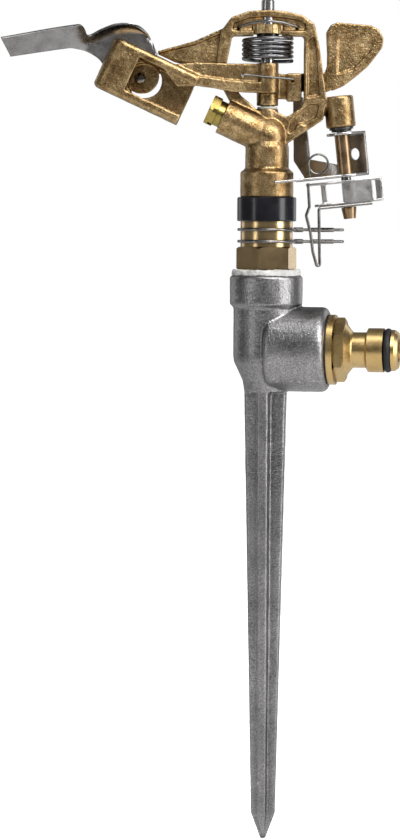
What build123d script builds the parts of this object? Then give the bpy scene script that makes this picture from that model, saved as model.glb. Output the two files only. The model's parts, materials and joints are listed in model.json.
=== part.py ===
from build123d import *
import os
from math import asin, cos, degrees, radians, sin, sqrt, tan

# Impact sprinkler on a ground spike. Millimetres. +Z runs up the swivel axis, +X along the hose
# connector, and the origin is on the swivel axis at the ground line, where the spike starts.
# Head parts are drawn with the nozzle towards -X and the barrel's lower end at BARREL_BOTTOM. HEAD then
# turns them by HEAD_TURN about the swivel axis and sets the barrel on the dust sleeve.

# ---- Clearances ----
RUN_GAP = 0.06            # radial gap of a shaft that turns in its hole
THREAD_GAP = 0.05         # radial gap of an assembled thread, drawn as plain cylinders
MOVE_GAP = 0.5            # gap between faces that move past each other

# ---- Overall ----
HEAD_TURN = 11.0          # nozzle direction against the hose connector, degrees about Z
SPIKE_LENGTH = 182.6
COLLAR_TOP = 46.4         # height of the housing's top face

# ---- Spike and housing, one casting ----
SPIKE_TIP_LENGTH = 10.6
SPIKE_TOP_WIDTH = 17.0
SPIKE_LOW_WIDTH = 9.8
SPIKE_TIP_WIDTH = 2.0
SPIKE_TOP_RIB = 4.8
SPIKE_LOW_RIB = 3.4
SPIKE_TIP_RIB = 1.0
RIB_ROUND = 0.25          # share of the rib thickness that its edges are rounded by
HOUSING_R = 13.1
HOUSING_FOOT_R = 8.6
COLLAR_R = 14.6
COLLAR_HEIGHT = 11.4
INLET_BOSS_R = 17.0       # the boss is tangent to the ground line, so its axis is this high
INLET_BOSS_START = 1.0
INLET_FACE_X = 25.4
CAST_ROUND = 2.6
INLET_THREAD_R = 13.2     # G 3/4
INLET_THREAD_DEPTH = 13.0
GALLERY_R = 9.4

# ---- Hose connector ----
GASKET_T = 0.6
CONNECTOR_FLANGE_R = 14.0
CONNECTOR_FLANGE_T = 2.4
CONNECTOR_HEX_AF = 22.4
CONNECTOR_HEX_T = 4.2
CONNECTOR_CONE_T = 2.4
CONNECTOR_NECK_R = 7.1
CONNECTOR_NECK_T = 5.6
CONNECTOR_NOSE_R = 8.8
CONNECTOR_NOSE_T = 7.2
CONNECTOR_TIP_R = 8.3
CONNECTOR_TIP_T = 2.6
CONNECTOR_BORE_R = 4.6
ORING_SECTION_R = 1.5     # the O-ring is drawn squeezed flush with the nose, as in a coupling
ORING_GROOVE_SLACK = 0.2

# ---- Swivel bearing ----
THREAD_R = 10.4           # G 1/2 male thread
THREAD_ENGAGED = 9.4
SEAL_T = 2.2              # white thread seal between the nipple and the collar
SEAL_R = 13.7
NIPPLE_HEX_AF = 21.5
NIPPLE_HEX_H = 9.2
NIPPLE_HEX_TURN = 24.0
NIPPLE_NECK_H = 11.7
TUBE_R = 6.7
TUBE_BORE_R = 4.9
TUBE_FLANGE_R = THREAD_R - 1.4    # it goes in through the housing's thread
TUBE_FLANGE_T = 3.0
FACE_SEAL_T = 1.4
FACE_SEALS = 2
WASHER_T = 0.8
SWIVEL_WIRE_R = 0.6
SWIVEL_COILS = 3.0
SLEEVE_R = 11.8
SLEEVE_SKIRT_GAP = 0.45   # radial gap between the dust sleeve and the nipple
SLEEVE_OVERLAP = 1.5      # how far the sleeve hangs over the nipple
SLEEVE_H = 9.6
SLEEVE_TOP_T = 1.2

# ---- Arc stop clips ----
CLIP_WIRE_R = 0.6
CLIP_GAP = 0.15
CLIP_LEG_LENGTH = 33.0
CLIP_LEG_SPACING = 2.4
CLIP_TURN = 20.0          # direction of the legs at rest, in the head's frame
CLIP_LOW_RISE = 2.2       # above the nipple's hexagon
CLIP_HIGH_RISE = 6.9

# ---- Sprinkler body ----
BARREL_BOTTOM = 77.6      # datum of the head's drawing
BARREL_R = 10.6
BARREL_H = 11.4
TUBE_SEAT = 1.0           # material over the swivel tube's end
BODY_NECK_R = 8.7
BODY_NECK_H = 8.6
SHOULDER_H = 1.6
WATER_KNEE_Z = 101.8      # where the nozzle axis meets the swivel axis
NOZZLE_RISE = 25.0        # nozzle elevation in degrees
NOZZLE_TUBE_R = 7.45
NOZZLE_TUBE_END = 19.4    # distance from the knee to the tube's end face
WATER_R = 4.6
NOZZLE_THREAD_R = 5.6
NOZZLE_THREAD_L = 7.0
PIN_BOSS_R = 4.3
PIN_BOSS_TOP = 112.6
BRIDGE_T = 7.0            # thickness of the bridge, front to back
RECESS = 1.5              # depth of the cored pockets in the bridge
RIM = 1.3                 # width of the rims round those pockets
WING_T = 2.4
FULCRUM_R = 2.6
FULCRUM_TOP = 155.6
FULCRUM_SEAT = 5.0

# ---- Nozzle ----
NOZZLE_HEAD_AF = 11.6
NOZZLE_HEAD_L = 3.4
NOZZLE_HEX_AF = 10.4
NOZZLE_HEX_L = 2.7
NOZZLE_ORIFICE_R = 2.2
NOZZLE_SLOTS = 6
NOZZLE_SLOT_W = 1.6
NOZZLE_SLOT_L = 1.8

# ---- Swing arm ----
HUB_R = 4.3
HUB_TOP = 130.4
HUB_PAD_SHIFT = 4.2       # the hub's front pad, which the bars run into
HUB_PAD_BOTTOM = 118.6
ARM_T = 4.0               # thickness of the arm's bars
LEAF_T = 2.0
BUSH_T = 0.7
BUSH_L = 5.0
LUG_BOTTOM = 115.8
LUG_BACK = 6.5
SPOON_FRONT = -8.4
SPOON_BACK = 6.0
SPOON_WALL = 2.0
SPOON_START = 15.3        # along the jet, from the end of the nozzle tube
SPOON_CHEEK = 39.6
SPOON_END = 52.0
SPOON_LOW = -11.4
SPOON_HIGH = 9.8
SPOON_RAIL = 3.6
SPOON_CHEEK_ROUND = 5.5
SPOON_CORNER_ROUND = 1.8
SCOOP_R = 5.0
POCKET_R = 7.0
POCKET_AT = 34.5
POCKET_FLOOR = 0.8
POCKET_SHIFT_ALONG = 1.7  # how far the floor is off the pocket's centre, which leaves a crescent open
POCKET_SHIFT_ACROSS = 1.1
WEIGHT_T = 8.6

# ---- Splash vane ----
VANE_T = 0.9
VANE_ROLL_R = 4.6
VANE_BLADE_W = 11.2
VANE_TIP_TILT = 36.0      # the blade's tilt from level, at its tip and at its root
VANE_ROOT_TILT = 58.0
RIVET_R = 1.4
RIVET_HEAD_R = 2.2
RIVET_HEAD_T = 1.0
RIVET_AT = 36.5
RIVET_ACROSS = -0.7

# ---- Arm spring ----
SPRING_WIRE_R = 0.75
SPRING_R = 9.55
SPRING_COILS = 5.0
SPRING_PITCH = 1.75
CAP_R = 6.2
CAP_TEETH = 14
CAP_Z = 142.2
CAP_H = 3.4
CAP_BUSH_R = 4.4
CLIP_RING_R = 11.6
CLIP_RING_WIRE_R = 0.5
HUB_WIRE_R = 0.35
HUB_WIRE_REACH = 10.0

# ---- Part-circle trip gear, drawn in a frame that leans with its pin ----
TRIP_X = 29.5
TRIP_Z = 105.4            # lower end of the pin boss
TRIP_LEAN = 6.0
TRIP_BOSS_R = 5.9
TRIP_BOSS_H = 12.4
TRIP_PIN_R = 2.0
TRIP_WASHER_R = 4.8
SHEET_T = 1.0
SPACER_R = 3.0
BRACKET_H = 17.6
BRACKET_W = 12.0
BRACKET_REACH = 7.6
BRACKET_TURN = 46.0
BRACKET_HOLE_R = 2.3
FINGER_TOP = 14.2         # above the lower end of the pin boss
LEVER_H = 9.5
LEVER_W = 7.2
LEVER_TURN = 12.0
LEVER_LEFT = 16.4
LEVER_RIGHT = 13.8
FEELER_R = 0.6
FEELER_DROP = 53.6        # lowest point of the feeler below the pin boss
NUT_R = 3.0
NUT_TIP_R = 1.6
NUT_L = 4.6
TOGGLE_R = 3.9
TOGGLE_WIRE_R = 0.42
TOGGLE_X = -10.6          # centre of the loop in the leaning frame
TOGGLE_Y = -2.4
TOGGLE_Z = -13.6
TOGGLE_TOP = -4.0

# ---- Heights that follow ----
INLET_Z = INLET_BOSS_R
NIPPLE_BOTTOM = COLLAR_TOP - THREAD_ENGAGED
HEX_BOTTOM = COLLAR_TOP + SEAL_T
HEX_TOP = HEX_BOTTOM + NIPPLE_HEX_H
NIPPLE_TOP = HEX_TOP + NIPPLE_NECK_H
SLEEVE_BOTTOM = NIPPLE_TOP - SLEEVE_OVERLAP
SLEEVE_TOP = SLEEVE_BOTTOM + SLEEVE_H
CLIP_LOW_Z = HEX_TOP + CLIP_LOW_RISE
CLIP_HIGH_Z = HEX_TOP + CLIP_HIGH_RISE
BARREL_TOP = BARREL_BOTTOM + BARREL_H
NECK_TOP = BARREL_TOP + BODY_NECK_H
FACE_SEALS_BOTTOM = NIPPLE_BOTTOM - MOVE_GAP - FACE_SEALS * FACE_SEAL_T
TUBE_BOTTOM = FACE_SEALS_BOTTOM - TUBE_FLANGE_T
HUB_BOTTOM = PIN_BOSS_TOP + WASHER_T + MOVE_GAP
ARM_FACE = BRIDGE_T / 2 + MOVE_GAP
SPRING_BOTTOM = HUB_TOP + MOVE_GAP + SPRING_WIRE_R
BRACKET_TOP = -2 * WASHER_T - MOVE_GAP
BRACKET_BOTTOM = BRACKET_TOP - BRACKET_H
LEVER_TOP = BRACKET_BOTTOM - MOVE_GAP - WASHER_T
LEVER_BOTTOM = LEVER_TOP - LEVER_H
TRIP_PIN_BOTTOM = LEVER_BOTTOM - WASHER_T - NUT_L - MOVE_GAP

BEARING = Rot(0, 0, HEAD_TURN)
HEAD = Pos(0, 0, SLEEVE_TOP - BARREL_BOTTOM) * BEARING
TRIP = Pos(TRIP_X, 0, TRIP_Z) * Rot(0, -TRIP_LEAN, 0)
LEVER = TRIP * Rot(0, 0, LEVER_TURN)
NOZZLE = Pos(0, 0, WATER_KNEE_Z) * Rot(0, NOZZLE_RISE - 90, 0)
SPOON = NOZZLE * Pos(0, 0, NOZZLE_TUBE_END)


def turned(points):
    """Solid of revolution about Z from (radius, height) points, closed along the axis."""
    return revolve(Plane.XZ * make_face(Polyline(*points, close=True)), Axis.Z)


def ring(inner, outer, bottom, height):
    """Flat ring about Z."""
    return Pos(0, 0, bottom + height / 2) * (Cylinder(outer, height) - Cylinder(inner, height))


def rod(radius, bottom, top):
    """Plain round bar about Z."""
    return Pos(0, 0, (bottom + top) / 2) * Cylinder(radius, top - bottom)


def slab(points, front, back, radius=0.0):
    """Plate drawn in X and Z, from the front face to the back face along Y."""
    outline = FilletPolyline(*points, radius=radius, close=True) if radius else Polyline(*points, close=True)
    return Pos(0, back, 0) * extrude(Plane.XZ * make_face(outline), amount=back - front)


def sheet(points, bottom, thickness=SHEET_T, radius=0.0):
    """Level plate drawn in X and Y."""
    outline = FilletPolyline(*points, radius=radius, close=True) if radius else Polyline(*points, close=True)
    return Pos(0, 0, bottom) * extrude(make_face(outline), amount=thickness)


def wire(points, radius, bend):
    """Round wire along straight runs joined by tangent bends."""
    path = FilletPolyline(*points, radius=bend)
    return sweep(Plane(origin=path @ 0, z_dir=path % 0) * Circle(radius), path=path)


def coil(wire_radius, radius, pitch, turns, bottom):
    """Round wire wound into a cylindrical coil about Z."""
    path = Helix(pitch=pitch, height=pitch * turns, radius=radius)
    return Pos(0, 0, bottom) * sweep(Plane(origin=path @ 0, z_dir=path % 0) * Circle(wire_radius), path=path)


def hexagon(flats, bottom, height, turn=0.0, chamfer_r=0.0):
    """Hexagonal bar about Z, its corners turned off to the given radius at both ends."""
    bar = extrude(Rot(0, 0, turn) * RegularPolygon(flats / 2, 6, major_radius=False), amount=height)
    if chamfer_r:
        corner = flats / sqrt(3)
        drop = (corner - chamfer_r) * tan(radians(30))
        profile = [(0, 0), (chamfer_r, 0), (corner, drop), (corner, height - drop), (chamfer_r, height),
                   (0, height)]
        bar = bar & turned(profile)
    return Pos(0, 0, bottom) * bar


# ---------------------------------------------------------------- ground part
def rib_plate(widths, ribs, heights):
    """Tapered plate with rounded edges: one pair of the spike's four ribs."""
    sections = []
    for width, rib, height in zip(widths, ribs, heights):
        sections.append(Pos(0, 0, height) * RectangleRounded(width, rib, rib * RIB_ROUND))
    return loft(sections[:2]) + loft(sections[1:])


def spike():
    """Cross-shaped spike that tapers gently and then runs to a blunt point."""
    widths = (SPIKE_TOP_WIDTH, SPIKE_LOW_WIDTH, SPIKE_TIP_WIDTH)
    ribs = (SPIKE_TOP_RIB, SPIKE_LOW_RIB, SPIKE_TIP_RIB)
    heights = (0, SPIKE_TIP_LENGTH - SPIKE_LENGTH, -SPIKE_LENGTH)
    plate = rib_plate(widths, ribs, heights)
    return plate + Rot(0, 0, 90) * plate


def spike_housing():
    """Ground spike, housing, threaded collar and side inlet boss in one casting."""
    foot_top = HOUSING_R * 0.9
    collar_bottom = COLLAR_TOP - COLLAR_HEIGHT
    step = COLLAR_R - HOUSING_R
    edge = 0.8
    column = turned([
        (0, 0), (HOUSING_FOOT_R, 0), (HOUSING_FOOT_R + 0.8, 4.6), (HOUSING_R - 0.3, foot_top),
        (HOUSING_R, foot_top + 2.0), (HOUSING_R, collar_bottom - step), (COLLAR_R, collar_bottom),
        (COLLAR_R, COLLAR_TOP - edge), (COLLAR_R - edge, COLLAR_TOP), (0, COLLAR_TOP),
    ])
    length = INLET_FACE_X - INLET_BOSS_START
    boss = fillet(Cylinder(INLET_BOSS_R, length).edges().filter_by(GeomType.CIRCLE), CAST_ROUND)
    boss = Pos(INLET_BOSS_START + length / 2, 0, INLET_Z) * Rot(0, 90, 0) * boss
    body = column + boss + spike()
    collar_bore = rod(THREAD_R + THREAD_GAP, NIPPLE_BOTTOM - 1.0, COLLAR_TOP)
    gallery = rod(GALLERY_R + 0.6, INLET_Z - GALLERY_R, NIPPLE_BOTTOM - 1.0)
    mouth_start = INLET_FACE_X - INLET_THREAD_DEPTH
    mouth = Pos(0, 0, INLET_Z) * Rot(0, 90, 0) * rod(INLET_THREAD_R + THREAD_GAP, mouth_start, INLET_FACE_X)
    inlet = Pos(0, 0, INLET_Z) * Rot(0, 90, 0) * rod(GALLERY_R, 0, mouth_start)
    return body - collar_bore - gallery - mouth - inlet


def inlet_gasket():
    flat = ring(INLET_THREAD_R + THREAD_GAP, CONNECTOR_FLANGE_R - 0.1, INLET_FACE_X, GASKET_T)
    return Pos(0, 0, INLET_Z) * Rot(0, 90, 0) * flat


def connector_stations():
    """Positions along X of the connector's steps, from the flange outwards."""
    flange = INLET_FACE_X + GASKET_T
    hexagon_start = flange + CONNECTOR_FLANGE_T
    cone = hexagon_start + CONNECTOR_HEX_T
    neck = cone + CONNECTOR_CONE_T
    nose = neck + CONNECTOR_NECK_T
    groove = nose + CONNECTOR_NOSE_T
    tip = groove + 2 * ORING_SECTION_R + ORING_GROOVE_SLACK
    return flange, hexagon_start, cone, neck, nose, groove, tip


def hose_connector():
    """Push-fit hose connector with its threaded shank, flange, hexagon, neck and nose."""
    flange, hex_start, cone, neck, nose, groove, tip = connector_stations()
    shank_start = INLET_FACE_X - INLET_THREAD_DEPTH + 1.0
    hex_flat_r = CONNECTOR_HEX_AF / 2
    groove_r = CONNECTOR_NOSE_R - 2 * ORING_SECTION_R
    round_parts = turned([
        (0, shank_start), (INLET_THREAD_R - 0.8, shank_start), (INLET_THREAD_R, shank_start + 0.8),
        (INLET_THREAD_R, flange), (CONNECTOR_FLANGE_R, flange), (CONNECTOR_FLANGE_R, hex_start),
        (hex_flat_r - 0.6, hex_start), (hex_flat_r - 0.6, cone), (CONNECTOR_NECK_R + 0.4, neck),
        (CONNECTOR_NECK_R, neck + 0.5), (CONNECTOR_NECK_R, nose), (CONNECTOR_NOSE_R, nose + 0.9),
        (CONNECTOR_NOSE_R, groove), (groove_r, groove), (groove_r, tip), (CONNECTOR_TIP_R, tip),
        (CONNECTOR_TIP_R - 0.2, tip + CONNECTOR_TIP_T * 0.5),
        (CONNECTOR_TIP_R - 1.2, tip + CONNECTOR_TIP_T), (0, tip + CONNECTOR_TIP_T),
    ])
    nut = hexagon(CONNECTOR_HEX_AF, hex_start, CONNECTOR_HEX_T, 0, CONNECTOR_HEX_AF / 2 + 0.5)
    bore = rod(CONNECTOR_BORE_R, shank_start, tip + CONNECTOR_TIP_T)
    return Pos(0, 0, INLET_Z) * Rot(0, 90, 0) * (round_parts + nut - bore)


def connector_oring():
    groove = connector_stations()[5]
    middle = groove + ORING_SECTION_R + ORING_GROOVE_SLACK / 2
    ring_r = CONNECTOR_NOSE_R - ORING_SECTION_R
    return Pos(middle, 0, INLET_Z) * Rot(0, 90, 0) * Torus(ring_r, ORING_SECTION_R)


# ---------------------------------------------------------------- swivel bearing
def bearing_nipple():
    """Threaded bearing nipple that the swivel tube turns in."""
    chamfer_z = 0.8
    outside = turned([
        (0, NIPPLE_BOTTOM), (THREAD_R - chamfer_z, NIPPLE_BOTTOM), (THREAD_R, NIPPLE_BOTTOM + chamfer_z),
        (THREAD_R, NIPPLE_TOP - chamfer_z), (THREAD_R - chamfer_z, NIPPLE_TOP), (0, NIPPLE_TOP),
    ])
    nut = hexagon(NIPPLE_HEX_AF, HEX_BOTTOM, NIPPLE_HEX_H, NIPPLE_HEX_TURN, NIPPLE_HEX_AF / 2 + 0.4)
    return outside + nut - rod(TUBE_R + RUN_GAP, NIPPLE_BOTTOM, NIPPLE_TOP)


def thread_seal():
    return ring(THREAD_R, SEAL_R, COLLAR_TOP, SEAL_T)


def swivel_tube():
    """Flanged tube that carries the head and leads the water up."""
    tube_top = SLEEVE_TOP + BARREL_H - TUBE_SEAT
    return turned([
        (TUBE_BORE_R, TUBE_BOTTOM), (TUBE_FLANGE_R, TUBE_BOTTOM), (TUBE_FLANGE_R, FACE_SEALS_BOTTOM),
        (TUBE_R, FACE_SEALS_BOTTOM), (TUBE_R, tube_top), (TUBE_BORE_R, tube_top),
    ])


def face_seals():
    """Stack of flat seal washers between the tube's flange and the nipple."""
    stack = []
    for number in range(FACE_SEALS):
        bottom = FACE_SEALS_BOTTOM + number * FACE_SEAL_T
        stack.append(ring(TUBE_R, TUBE_FLANGE_R, bottom, FACE_SEAL_T - 0.1))
    return Compound(children=[part.solid() for part in stack])


def nipple_washer():
    """Slip washer that the swivel spring turns on."""
    return ring(TUBE_R + 0.4, THREAD_R - 0.6, NIPPLE_TOP, WASHER_T)


def swivel_spring():
    """Compression spring round the tube, between the slip washer and the sleeve's top."""
    bottom = NIPPLE_TOP + WASHER_T + MOVE_GAP + SWIVEL_WIRE_R
    top = SLEEVE_TOP - SLEEVE_TOP_T - SWIVEL_WIRE_R - 0.1
    return coil(SWIVEL_WIRE_R, TUBE_R + 1.6, (top - bottom) / SWIVEL_COILS, SWIVEL_COILS, bottom)


def dust_sleeve():
    """Black sleeve that keeps grit out of the bearing."""
    inside = THREAD_R + SLEEVE_SKIRT_GAP
    shell = turned([
        (TUBE_R, SLEEVE_TOP - SLEEVE_TOP_T), (inside, SLEEVE_TOP - SLEEVE_TOP_T), (inside, SLEEVE_BOTTOM),
        (SLEEVE_R - 0.4, SLEEVE_BOTTOM), (SLEEVE_R, SLEEVE_BOTTOM + 0.4), (SLEEVE_R, SLEEVE_TOP - 0.4),
        (SLEEVE_R - 0.4, SLEEVE_TOP), (TUBE_R, SLEEVE_TOP),
    ])
    return shell


def stop_clip(height):
    """Sprung wire ring on the nipple, with two legs that close in a loop."""
    ring_r = THREAD_R + CLIP_GAP + CLIP_WIRE_R
    half = CLIP_LEG_SPACING / 2
    leg_start = sqrt(ring_r ** 2 - half ** 2)
    loop_x = CLIP_LEG_LENGTH - half
    gap = degrees(asin(half / ring_r))
    hoop = Rot(0, 0, gap) * Torus(ring_r, CLIP_WIRE_R, major_angle=360 - 2 * gap)
    legs = wire([(leg_start, half, 0), (loop_x + half, half, 0), (loop_x + half, -half, 0),
                 (leg_start, -half, 0)],
                CLIP_WIRE_R, half * 0.98)
    knees = Pos(leg_start, half, 0) * Sphere(CLIP_WIRE_R) + Pos(leg_start, -half, 0) * Sphere(CLIP_WIRE_R)
    return Pos(0, 0, height) * Rot(0, 0, CLIP_TURN) * (hoop + legs + knees)


# ---------------------------------------------------------------- sprinkler body
def bridge_outline():
    """Outside of the bridge that spans the arm, from the nozzle tube over the top to the strut."""
    return [
        (-8.0, 112.0), (-15.4, 116.2), (-19.6, 124.0), (-20.3, 131.0), (-18.7, 143.0), (-14.6, 148.6),
        (-7.8, 151.0), (0, 151.6), (7.0, 151.0), (13.7, 149.5), (18.5, 146.0), (20.5, 137.0),
        (21.6, 129.6), (23.3, 117.0), (22.2, 108.4), (4.8, 96.8), (0, 96.0),
    ]


def bridge_window():
    """Opening that the arm and its spring sit in."""
    return [
        (-14.2, 141.4), (-16.2, 130.6), (-15.2, 124.0), (-10.4, 117.6), (-3.0, 111.2), (3.0, 111.6),
        (7.7, 109.4), (13.6, 113.2), (14.5, 116.0), (14.5, 141.4),
    ]


def bridge():
    half = BRIDGE_T / 2
    frame = slab(bridge_outline(), -half, half, 1.2) - slab(bridge_window(), -half, half, 1.2)
    post = [(14.5 + RIM, 117.0), (14.5 + RIM, 139.0), (18.2, 141.5), (20.4 - RIM, 137.0),
            (22.0 - RIM, 118.0)]
    arch = [
        (-13.4, 146.4), (-7.4, 148.4), (0, 149.0), (6.8, 148.4), (13.0, 147.2), (15.6, 145.4), (15.2, 143.4),
        (-14.2, 143.4),
    ]
    strut = [(8.0, 102.5), (19.6, 109.6), (20.6, 114.4), (16.4, 114.4), (9.4, 107.8)]
    for outline in (post, arch, strut):
        frame -= slab(outline, -half, -half + RECESS, 0.5)
        frame -= slab(outline, half - RECESS, half, 0.5)
    return frame


def wing():
    """Thin web that runs from the left post out over the arm."""
    outline = [(-18.0, 143.6), (-28.7, 138.9), (-43.6, 134.9), (-43.6, 134.0), (-37.0, 131.0),
               (-28.7, 129.0),
               (-22.0, 128.4), (-18.4, 127.0)]
    plate = slab(outline, -WING_T / 2, WING_T / 2)
    lip = slab([(-17.6, 144.4), (-28.7, 139.4), (-43.8, 135.2), (-43.4, 134.4), (-28.7, 137.9),
                (-17.6, 142.8)],
               -WING_T, WING_T)
    return plate + lip


def trip_boss():
    boss = fillet(rod(TRIP_BOSS_R, 0, TRIP_BOSS_H).edges().filter_by(GeomType.CIRCLE), 0.8)
    return TRIP * boss


def sprinkler_body():
    """Brass casting: barrel, neck, nozzle tube, bridge, wing and the boss of the trip pin."""
    column = turned([
        (0, BARREL_BOTTOM), (BARREL_R, BARREL_BOTTOM), (BARREL_R, BARREL_TOP - SHOULDER_H),
        (BODY_NECK_R, BARREL_TOP), (BODY_NECK_R, NECK_TOP), (BODY_NECK_R - 1.4, NECK_TOP + 3.0),
        (PIN_BOSS_R, PIN_BOSS_TOP - 4.0), (PIN_BOSS_R, PIN_BOSS_TOP), (0, PIN_BOSS_TOP),
    ])
    tube = NOZZLE * rod(NOZZLE_TUBE_R, 0, NOZZLE_TUBE_END)
    knee = Pos(0, 0, WATER_KNEE_Z) * Sphere(NOZZLE_TUBE_R + 0.6)
    casting = column + tube + knee + bridge() + wing() + trip_boss()
    casting -= rod(TUBE_R, BARREL_BOTTOM, BARREL_TOP - TUBE_SEAT)
    casting -= rod(WATER_R, BARREL_TOP - TUBE_SEAT, WATER_KNEE_Z)
    casting -= Pos(0, 0, WATER_KNEE_Z) * Sphere(WATER_R)
    casting -= NOZZLE * rod(WATER_R, 0, NOZZLE_TUBE_END)
    casting -= NOZZLE * rod(NOZZLE_THREAD_R, NOZZLE_TUBE_END - NOZZLE_THREAD_L, NOZZLE_TUBE_END)
    casting -= rod(FULCRUM_R, PIN_BOSS_TOP - FULCRUM_SEAT, PIN_BOSS_TOP)
    casting -= rod(FULCRUM_R, CAP_Z, FULCRUM_TOP)
    casting -= rod(CAP_R + 0.2, CAP_Z - 4.0, CAP_Z + CAP_H + 0.1)
    casting -= TRIP * rod(TRIP_PIN_R, 0, TRIP_BOSS_H - 2.0)
    for side in (-1, 1):
        hole = Rot(90, 0, 0) * Cylinder(0.6, 3.0)
        casting -= Pos(side * CLIP_RING_R, -BRIDGE_T / 2 + RECESS, 144.6) * hole
    return casting


def nozzle():
    """Screw-in nozzle with a slotted head and a tapered bore."""
    head_bottom = NOZZLE_TUBE_END + NOZZLE_HEX_L
    head_top = head_bottom + NOZZLE_HEAD_L
    shank = rod(NOZZLE_THREAD_R - THREAD_GAP, NOZZLE_TUBE_END - NOZZLE_THREAD_L + 0.5, NOZZLE_TUBE_END)
    lower = rod(NOZZLE_HEX_AF / 2, NOZZLE_TUBE_END, head_bottom)
    head = hexagon(NOZZLE_HEAD_AF, head_bottom, NOZZLE_HEAD_L, 30, NOZZLE_HEAD_AF / 2 + 0.1)
    bottom = NOZZLE_TUBE_END - NOZZLE_THREAD_L + 0.5
    bore = turned([(0, bottom), (WATER_R - 0.4, bottom), (NOZZLE_ORIFICE_R, head_top - 2.0),
                   (NOZZLE_ORIFICE_R, head_top), (0, head_top)])
    solid = shank + lower + head - bore
    for number in range(NOZZLE_SLOTS):
        cut = Box(NOZZLE_SLOT_W, NOZZLE_HEAD_AF, 2 * NOZZLE_SLOT_L)
        place = Rot(0, 0, number * 360 / NOZZLE_SLOTS) * Pos(0, NOZZLE_HEAD_AF, head_bottom)
        solid -= place * cut
    return NOZZLE * solid


def fulcrum_pin():
    """Steel pin that the arm swings on, held in the body at both ends."""
    pin = rod(FULCRUM_R, PIN_BOSS_TOP - FULCRUM_SEAT, FULCRUM_TOP)
    return chamfer(pin.edges().filter_by(GeomType.CIRCLE), 0.4)


def pin_washer():
    return ring(FULCRUM_R, HUB_R - 0.3, PIN_BOSS_TOP, WASHER_T)


# ---------------------------------------------------------------- swing arm
def spoon_block(across, along, front, back):
    """Box in the spoon's frame, from its limits across the jet, along it, and front to back."""
    middle = ((across[0] + across[1]) / 2, (front + back) / 2, (along[0] + along[1]) / 2)
    return Pos(*middle) * Box(across[1] - across[0], back - front, along[1] - along[0])


def spoon_hole(across, along, radius, front, back):
    """Round bar from front to back in the spoon's frame."""
    return Pos(across, (front + back) / 2, along) * Rot(90, 0, 0) * Cylinder(radius, back - front)


def spoon():
    """Open box that catches the jet: cheek, two rails and a back wall with a round pocket."""
    outer = spoon_block((SPOON_LOW, SPOON_HIGH), (SPOON_START, SPOON_END), SPOON_FRONT, SPOON_BACK)
    outer = fillet(outer.edges().filter_by(Axis.X).group_by(Axis.Z)[-1], SPOON_CHEEK_ROUND)
    outer = fillet(outer.edges().filter_by(Axis.Y).group_by(Axis.Z)[-1], SPOON_CORNER_ROUND)
    inside = (SPOON_LOW + SPOON_RAIL, SPOON_HIGH - SPOON_RAIL)
    wall_front = SPOON_BACK - SPOON_WALL
    room = spoon_block(inside, (SPOON_START - 1.0, SPOON_CHEEK), SPOON_FRONT - 1.0, wall_front)
    scoop = Pos(sum(inside) / 2, wall_front - SCOOP_R, SPOON_CHEEK) * Rot(0, 90, 0)
    scoop = scoop * Cylinder(SCOOP_R, inside[1] - inside[0])
    pocket = spoon_hole(RIVET_ACROSS, POCKET_AT, POCKET_R, wall_front - 1.0, SPOON_BACK - POCKET_FLOOR)
    gap = spoon_hole(RIVET_ACROSS, POCKET_AT, POCKET_R, wall_front, SPOON_BACK + 1.0)
    gap -= spoon_hole(RIVET_ACROSS + POCKET_SHIFT_ACROSS, POCKET_AT + POCKET_SHIFT_ALONG, POCKET_R,
                      wall_front, SPOON_BACK + 1.0)
    rivet = spoon_hole(RIVET_ACROSS, RIVET_AT, RIVET_R, wall_front, SPOON_BACK + 1.0)
    return SPOON * (outer - room - scoop - pocket - gap - rivet)


def arm_bars():
    """The arm's leaf and bar on the nozzle side, in front of the bridge."""
    face = -ARM_FACE
    leaf = slab([(0, HUB_TOP - 0.2), (-17, 130.2), (-28.7, 130.6), (-36.5, 129.8), (-38.0, 128.0),
                 (-28.7, 123.6), (-15.9, 121.6), (0, 120.6)], face - LEAF_T, face)
    bar = slab([(0, 122.6), (-15.9, 123.6), (-28.7, 125.3), (-38.9, 129.2), (-44.0, 131.0), (-36.0, 121.0),
                (-28.7, 121.4), (-21, 120.4), (-14.4, 119.0), (0, 118.6)], face - ARM_T, face)
    return leaf + bar


def arm_tail():
    """The arm's lug and bar on the weight side, behind the right post."""
    web = slab([(0, 117.0), (8.6, 116.6), (8.6, 126.4), (0, 127.0)], 0.6, LUG_BACK - 0.8)
    lug = slab([(7.8, LUG_BOTTOM), (13.6, LUG_BOTTOM), (13.6, 126.8), (7.8, 126.8)], -0.6, LUG_BACK, 0.6)
    tail = slab([(8.0, 119.8), (24.0, 119.8), (27.5, 121.6), (27.5, 129.0), (24.0, 127.4), (8.0, 126.8)],
                ARM_FACE, ARM_FACE + ARM_T)
    return web + lug + tail


def counterweight():
    outline = [
        (26.2, 120.4), (30.8, 122.4), (34.9, 125.5), (40.1, 129.8), (42.9, 133.4), (45.9, 137.4),
        (46.5, 141.0), (44.5, 144.6), (41.3, 146.2), (28.0, 147.3), (25.3, 146.3), (23.7, 143.8),
        (24.1, 135.4), (24.1, 130.2),
        (23.2, 127.4), (24.4, 122.0),
    ]
    block = slab(outline, ARM_FACE, ARM_FACE + WEIGHT_T, 0.9)
    panel = slab([(28.0, 126.6), (34.0, 128.6), (41.5, 136.0), (42.6, 140.4), (28.2, 141.4)],
                 ARM_FACE, ARM_FACE + 0.7, 0.8)
    return block - panel


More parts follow.
